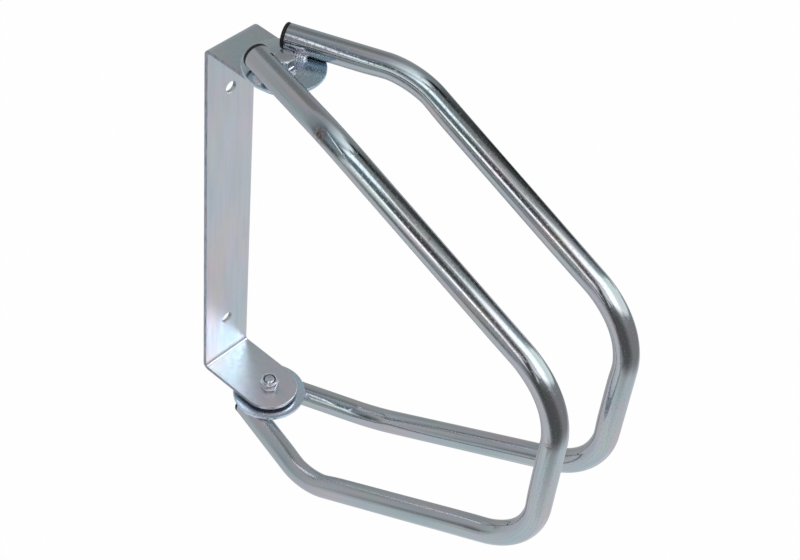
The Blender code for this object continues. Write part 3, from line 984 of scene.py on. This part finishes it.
def make_plug(name, side, sign):
    """A black end plug: a slightly dished cap with a round edge, and a sleeve in the tube."""
    sleeve = TUBE_RADIUS - TUBE_WALL - FIT
    inside = sleeve - PLUG_SLEEVE_WALL
    top = FIT + PLUG_CAP
    cap = [(TUBE_RADIUS * PLUG_RIM_SHARE, top), (TUBE_RADIUS, top), (TUBE_RADIUS, FIT), (sleeve, FIT)]
    profile = [
        (0, top - PLUG_DISH),
        (TUBE_RADIUS * PLUG_DISH_SHARE, top - PLUG_DISH),
        *rounded(cap, PLUG_EDGE, PLUG_EDGE_STEPS, closed=False),
        (sleeve, -PLUG_INSERT),
        (inside, -PLUG_INSERT),
        (inside, -FIT),
        (0, -FIT),
    ]
    mesh = turned(name, profile, SMALL_SIDES, CRADLE @ end_frame(side, sign), closed=False)
    add_piece(name + "_fine", name, mesh, black_plastic, "cradle")


def bead_radius(t, angle, shift):
    """A bead's radius at t, from -1 to 1 along it, and at an angle round it: ripples, lumps and spatter."""
    lag = WELD_RIPPLE_LAG * math.cos(angle)
    ripple = WELD_RIPPLE_DEPTH * abs(math.sin(math.pi * WELD_RIPPLES * (t + lag) / 2))
    x = t * WELD_NOISE_ALONG
    y = math.cos(angle) * WELD_NOISE_ROUND
    z = math.sin(angle) * WELD_NOISE_ROUND
    spot = Vector((x, y, z)) + shift
    uneven = WELD_LUMPS * noise.noise(spot) + WELD_SPATTER * noise.noise(WELD_SPATTER_SCALE * spot)
    girth = max(WELD_END_GIRTH, 1 - abs(t) ** 3) ** 0.5
    return (WELD_RADIUS - ripple + uneven) * girth


def make_weld(name, side, sign, hand):
    """A rippled bead in the wedge between a tube and its disc; hand is 1 on the arm's outer side."""
    along, across = arm_frame(side)
    centre = across * (ARM_OFFSET + hand * TUBE_RADIUS * WELD_REACH) + along * WELD_AHEAD_OF_AXIS
    centre.z = sign * (DISC_FACE_Z + WELD_LIFT)
    up = Vector((0, 0, sign))
    shift = Vector([scale * end for scale, end in zip(WELD_NOISE_SHIFT, (side, sign, hand))])
    rings = []
    for i in range(WELD_ROWS + 1):
        t = 2 * i / WELD_ROWS - 1
        ring = []
        for j in range(WELD_SIDES):
            angle = 2 * math.pi * j / WELD_SIDES
            spoke = across * hand * math.cos(angle) + up * math.sin(angle)
            point = centre + along * (t * WELD_LENGTH / 2) + spoke * bead_radius(t, angle, shift)
            point.z = sign * max(sign * point.z, DISC_Z + WELD_ROOT)
            ring.append(point)
        rings.append(np.array(ring))
    mesh = ring_mesh(name, placed(rings, CRADLE), sharp=WELD_SHARP_ANGLE)
    add_piece(name + "_bead", name, mesh, weld_zinc, "cradle")


def make_end(word, sign, nut_turn):
    """The pieces at the upper end, where sign is 1, or at the lower end, where it is -1."""
    make_rings(word, sign)
    make_bolt(word, sign)
    make_nut(word, sign, nut_turn)
    make_insert(word, sign)
    for hand, side in (("left", -1), ("right", 1)):
        make_plug(f"{hand}_{word}_end_plug", side, sign)
        make_weld(f"{hand}_{word}_inner_weld", side, sign, -1)
        make_weld(f"{hand}_{word}_outer_weld", side, sign, 1)


# The camera, at the photograph's viewing angle

CAMERA_AZIMUTH = math.radians(-52.512)
CAMERA_ELEVATION = math.radians(45.536)
CAMERA_ROLL = math.radians(7.041)
CAMERA_DISTANCE = 1.17153
CAMERA_TARGET = Vector((0, -0.108, 0))
CAMERA_RIGHT_SHIFT = 0.04733
CAMERA_UP_SHIFT = 0.00452
FOCAL_PIXELS = 1672.6
PICTURE_WIDTH = 800
SENSOR_WIDTH = 36


def direction(azimuth, elevation):
    """The unit vector towards an azimuth, 0 being -Y and 90 degrees being +X, and an elevation."""
    flat = math.cos(elevation)
    return Vector((math.sin(azimuth) * flat, -math.cos(azimuth) * flat, math.sin(elevation)))


def make_camera():
    """The camera, aimed at the rack and rolled and shifted as the photograph's was."""
    back = direction(CAMERA_AZIMUTH, CAMERA_ELEVATION)
    right = Vector((math.cos(CAMERA_AZIMUTH), math.sin(CAMERA_AZIMUTH), 0))
    up = back.cross(right)
    rolled_right = math.cos(CAMERA_ROLL) * right + math.sin(CAMERA_ROLL) * up
    rolled_up = back.cross(rolled_right)
    place = CAMERA_TARGET + CAMERA_DISTANCE * back
    place += CAMERA_RIGHT_SHIFT * rolled_right + CAMERA_UP_SHIFT * rolled_up
    data = bpy.data.cameras.new("camera")
    data.sensor_width = SENSOR_WIDTH
    data.lens = FOCAL_PIXELS / PICTURE_WIDTH * SENSOR_WIDTH
    camera = add_object("camera", data)
    turn = Matrix((rolled_right, rolled_up, back)).transposed().to_4x4()
    camera.matrix_world = Matrix.Translation(place) @ turn
    bpy.context.scene.camera = camera


# The stage

WHITE = (1, 1, 1)
SOFT_LIGHT = (0.95, 0.95, 0.95)
FLOOR_Z = -0.75
FLOOR_SIZE = 30
FLOOR_COLOUR = (0.9, 0.9, 0.9)
FLOOR_ROUGHNESS = 0.9
FLOOR_GLOW = 0.94

# What the metal mirrors is painted on a dome of soft light and dark patches, the front one first. Azimuth,
# elevation, width, height and roll are in degrees; then come the soft share of the half size and how bright
# the patch is. All rows but the one that starts with 144.0 are the output of a program that fitted them to
# the levels of the photograph's tubes. Later the brightness of 15 rows was raised and that of 3 lowered.
DOME_RADIUS = 0.6
DOME_SUBDIVISIONS = 5
DOME_PATCHES = (
    (158.6, 47.0, 7.1, 6.4, -18.5, 0.37, 1.49),
    (-82.0, 50.6, 11.7, 9.7, -37.9, 0.37, 0.10),
    (-81.2, -4.2, 9.2, 8.5, 25.7, 0.08, 0.39),
    (-31.4, 56.7, 9.8, 5.0, -44.8, 0.08, 0.35),
    (5.8, -80.5, 29.8, 14.2, 41.5, 1.00, 0.80),
    (3.5, 60.4, 36.6, 8.3, -7.2, 0.92, 0.55),
    (-76.3, -7.5, 9.1, 30.0, -39.8, 0.70, 0.20),
    (-82.7, 28.9, 8.2, 6.0, 59.7, 0.08, 0.59),
    (-40.8, 31.5, 4.3, 7.1, 18.6, 0.30, 0.54),
    (175.7, 17.2, 31.4, 12.0, -34.5, 0.80, 0.19),
    (85.5, 45.5, 18.8, 28.3, 3.1, 1.00, 0.32),
    (64.9, 15.4, 6.2, 13.8, -69.7, 0.08, 0.19),
    (-16.0, 72.9, 11.5, 9.6, 40.1, 0.35, 0.33),
    (-94.6, 7.1, 39.6, 17.1, 53.7, 1.00, 0.67),
    (-46.9, 45.9, 63.0, 23.2, 24.6, 0.96, 0.07),
    (-40.1, 25.1, 21.9, 78.5, -15.6, 0.78, 0.08),
    (-26.0, 38.7, 28.9, 26.9, -16.7, 0.08, 0.90),
    (71.9, 37.3, 29.9, 87.4, 11.5, 0.55, 0.07),
    (56.7, 50.9, 89.7, 25.4, -50.1, 0.36, 0.29),
    (6.4, 38.6, 35.4, 42.2, -16.3, 0.51, 1.73),
    (21.4, 33.6, 103.7, 32.2, -26.1, 0.29, 1.05),
    (-88.7, 44.6, 5.4, 55.8, 27.0, 0.74, 1.36),
    (-103.1, 2.7, 78.2, 69.1, -7.0, 1.00, 0.05),
    (-94.2, 6.5, 27.2, 76.8, -44.4, 1.00, 2.20),
    (-64.2, 29.7, 43.9, 16.5, 8.4, 1.00, 2.19),
    (-28.2, 64.6, 17.5, 55.4, 85.7, 0.65, 1.62),
    (22.1, 72.5, 73.8, 57.7, -27.9, 1.00, 1.32),
    (-43.5, 21.2, 20.0, 22.1, -50.8, 0.08, 1.09),
    (-30.5, -6.7, 85.4, 72.6, 15.7, 0.64, 0.11),
    (25.8, -4.7, 118.7, 56.8, -9.3, 0.67, 0.27),
    (144.0, 55.0, 50.0, 40.0, 0.0, 0.70, 0.24),
    (-173.4, 50.7, 136.8, 72.9, -53.0, 1.00, 0.47),
    (130.8, -15.1, 140.0, 97.4, -73.4, 1.00, 0.38),
    (78.8, 5.2, 31.2, 9.4, 8.6, 0.09, 2.20),
    (25.0, -55.6, 11.7, 29.2, 0.0, 0.59, 0.80),
    (-50.5, -36.2, 51.1, 5.9, 30.0, 0.54, 0.38),
)
DOME_TINT = (0.95, 1.0, 1.005)
DOME_LOW = (0.73, 0.81, 0.82)
DOME_HIGH = (0.15, 0.19, 0.23)

# The table under the rack, a round patch of the dome: place and radius in heights of the rack above it.
# These values, DOME_LOW and DOME_HIGH are the output of the same fit.
TABLE_PLACE = (3.74, 4.08)
TABLE_RADIUS = 7.51
TABLE_EDGE = 0.30
TABLE_COLOUR = (0.36, 0.38, 0.40)
TABLE_SLOPE = (-0.19, -0.92)

# Soft round cards, each mirrored by one piece only: the bracket, for its lower corner, and the upper bolt.
# The piece, the spot aimed at, distance and direction from it, radius, soft share and light.
FILL_CARDS = (
    ("bent_bar_bracket", (0, -0.02, -0.13), 0.36, (52.5, 45.5), 0.145, 0.9, (3.8, 4.5, 5.0)),
    ("upper_pivot_bolt_fine", (0, -0.055, 0.165), 0.36, (52.5, 45.5), 0.06, 0.6, (4.0, 4.3, 4.4)),
)
CARD_SIDES = 64


def add_stage(name, bm, material):
    """An object of the stage, from a bmesh."""
    mesh = keep_mesh(bm, name)
    mesh.materials.append(material)
    obj = add_object(name, mesh)
    return obj


def only_mirrored(obj):
    """Leave an object to mirrored rays: nothing else sees it, and it casts no shadow."""
    obj.visible_camera = False
    obj.visible_diffuse = False
    obj.visible_transmission = False
    obj.visible_shadow = False


def soft_inside(tree, size, edge):
    """1 where size is well under 1 and 0 where it is over 1, with a smooth step between them."""
    return remap(tree, size, 1 - edge, 1, 1, 0, "SMOOTHSTEP")


def flattened(tree, place, out, side, up):
    """A place on the dome seen flat, square to the direction out, and whether it is in front at all."""
    depth = vector_math(tree, "DOT_PRODUCT", place, out)
    x = math_node(tree, "DIVIDE", vector_math(tree, "DOT_PRODUCT", place, side), depth)
    y = math_node(tree, "DIVIDE", vector_math(tree, "DOT_PRODUCT", place, up), depth)
    flat = add_node(tree, "ShaderNodeCombineXYZ", X=x, Y=y).outputs["Vector"]
    return flat, math_node(tree, "GREATER_THAN", depth, 0)


def patch_mask(tree, place, azimuth, elevation, width, height, roll, edge):
    """Where a soft patch with round corners is on the dome."""
    azimuth, elevation, roll = (math.radians(v) for v in (azimuth, elevation, roll))
    out = direction(azimuth, elevation)
    level = Vector((math.cos(azimuth), math.sin(azimuth), 0))
    rise = out.cross(level)
    side = (math.cos(roll) * level + math.sin(roll) * rise) / math.tan(math.radians(width) / 2)
    up = (math.cos(roll) * rise - math.sin(roll) * level) / math.tan(math.radians(height) / 2)
    flat, ahead = flattened(tree, place, out, side, up)
    squares = vector_math(tree, "MULTIPLY", flat, flat)
    size = math_node(tree, "SQRT", vector_math(tree, "LENGTH", squares))
    return math_node(tree, "MULTIPLY", soft_inside(tree, size, edge), ahead)


def paint_table(tree, place, colour):
    """The dome's colour with the table painted over it, brighter towards one side."""
    flat, ahead = flattened(tree, place, Vector((0, 0, -1)), Vector((1, 0, 0)), Vector((0, 1, 0)))
    moved = vector_math(tree, "SUBTRACT", flat, (*TABLE_PLACE, 0))
    spot = vector_math(tree, "DIVIDE", moved, (TABLE_RADIUS, TABLE_RADIUS, 1))
    inside = soft_inside(tree, vector_math(tree, "LENGTH", spot), TABLE_EDGE)
    mask = math_node(tree, "MULTIPLY", inside, ahead)
    slope = vector_math(tree, "DOT_PRODUCT", spot, (*TABLE_SLOPE, 0))
    level = math_node(tree, "ADD", slope, 1)
    bright = add_node(tree, "ShaderNodeVectorMath", operation="SCALE", Vector=TABLE_COLOUR, Scale=level)
    return mix_colour(tree, mask, colour, bright.outputs["Vector"])


def make_dome():
    """The dome round the rack, which only mirrored rays see."""
    material, tree, shader = new_material("studio_dome")
    tree.nodes.remove(shader)
    place = own_place(tree)
    # From -0.5 at the dome's lowest point to 0.5 at its highest
    height = vector_math(tree, "DOT_PRODUCT", place, (0, 0, 0.5 / DOME_RADIUS))
    colour = mix_colour(tree, math_node(tree, "ADD", height, 0.5), DOME_LOW, DOME_HIGH)
    colour = paint_table(tree, place, colour)
    for *patch, light in reversed(DOME_PATCHES):
        bright = tuple(light * share for share in DOME_TINT)
        colour = mix_colour(tree, patch_mask(tree, place, *patch), colour, bright)
    glow = add_node(tree, "ShaderNodeEmission", Color=colour)
    tree.links.new(glow.outputs["Emission"], tree.nodes["Material Output"].inputs["Surface"])
    material.cycles.emission_sampling = "NONE"
    bm = bmesh.new()
    bmesh.ops.create_icosphere(bm, subdivisions=DOME_SUBDIVISIONS, radius=DOME_RADIUS)
    dome = add_stage("studio_dome", bm, material)
    dome.location = CAMERA_TARGET
    only_mirrored(dome)


def make_card(piece, spot, distance, towards, radius, edge, light):
    """A round card with a soft edge, which only one piece mirrors."""
    name = piece + "_card"
    material, tree, shader = new_material(name)
    tree.nodes.remove(shader)
    size = math_node(tree, "DIVIDE", vector_math(tree, "LENGTH", own_place(tree)), radius)
    clear = add_node(tree, "ShaderNodeBsdfTransparent").outputs["BSDF"]
    glow = add_node(tree, "ShaderNodeEmission", Color=light).outputs["Emission"]
    mix_shaders(tree, soft_inside(tree, size, edge), clear, glow)
    bm = bmesh.new()
    bmesh.ops.create_circle(bm, cap_ends=True, radius=radius, segments=CARD_SIDES)
    card = add_stage(name, bm, material)
    out = direction(*(math.radians(v) for v in towards))
    turn = out.to_track_quat("Z", "Y").to_matrix().to_4x4()
    card.matrix_world = Matrix.Translation(Vector(spot) + distance * out) @ turn
    only_mirrored(card)
    lit = bpy.data.collections.new(name)
    lit.objects.link(bpy.data.objects[piece])
    card.light_linking.receiver_collection = lit


def make_floor():
    """A pale floor that is white to the camera and takes the rack's soft shadow."""
    material, tree, shader = new_material("pale_floor")
    put(tree, shader.inputs["Base Color"], FLOOR_COLOUR)
    put(tree, shader.inputs["Roughness"], FLOOR_ROUGHNESS)
    put(tree, shader.inputs["Specular IOR Level"], 0)
    glow = add_node(tree, "ShaderNodeEmission", Color=WHITE).outputs["Emission"]
    seen = add_node(tree, "ShaderNodeLightPath").outputs["Is Camera Ray"]
    mix_shaders(tree, math_node(tree, "MULTIPLY", seen, FLOOR_GLOW), shader.outputs["BSDF"], glow)
    bm = bmesh.new()
    bmesh.ops.create_grid(bm, size=FLOOR_SIZE / 2)
    floor = add_stage("floor", bm, material)
    floor.location = (0, 0, FLOOR_Z)
    floor.visible_glossy = False


def make_world():
    """White to the camera and plain soft light on everything else."""
    world = bpy.data.worlds.new("studio")
    bpy.context.scene.world = world
    world.use_nodes = True
    tree = world.node_tree
    path = add_node(tree, "ShaderNodeLightPath")
    seen = math_node(tree, "MAXIMUM", path.outputs["Is Camera Ray"], path.outputs["Is Transmission Ray"])
    colour = mix_colour(tree, seen, SOFT_LIGHT, WHITE)
    put(tree, tree.nodes["Background"].inputs["Color"], colour)


make_camera()
make_world()
make_floor()
make_dome()
make_bracket()
make_hoop("left_hoop", -1)
make_hoop("right_hoop", 1)
make_end("upper", 1, 0)
make_end("lower", -1, LOWER_NUT_TURN)
for card in FILL_CARDS:
    make_card(*card)

bpy.context.scene.view_settings.view_transform = "Standard"
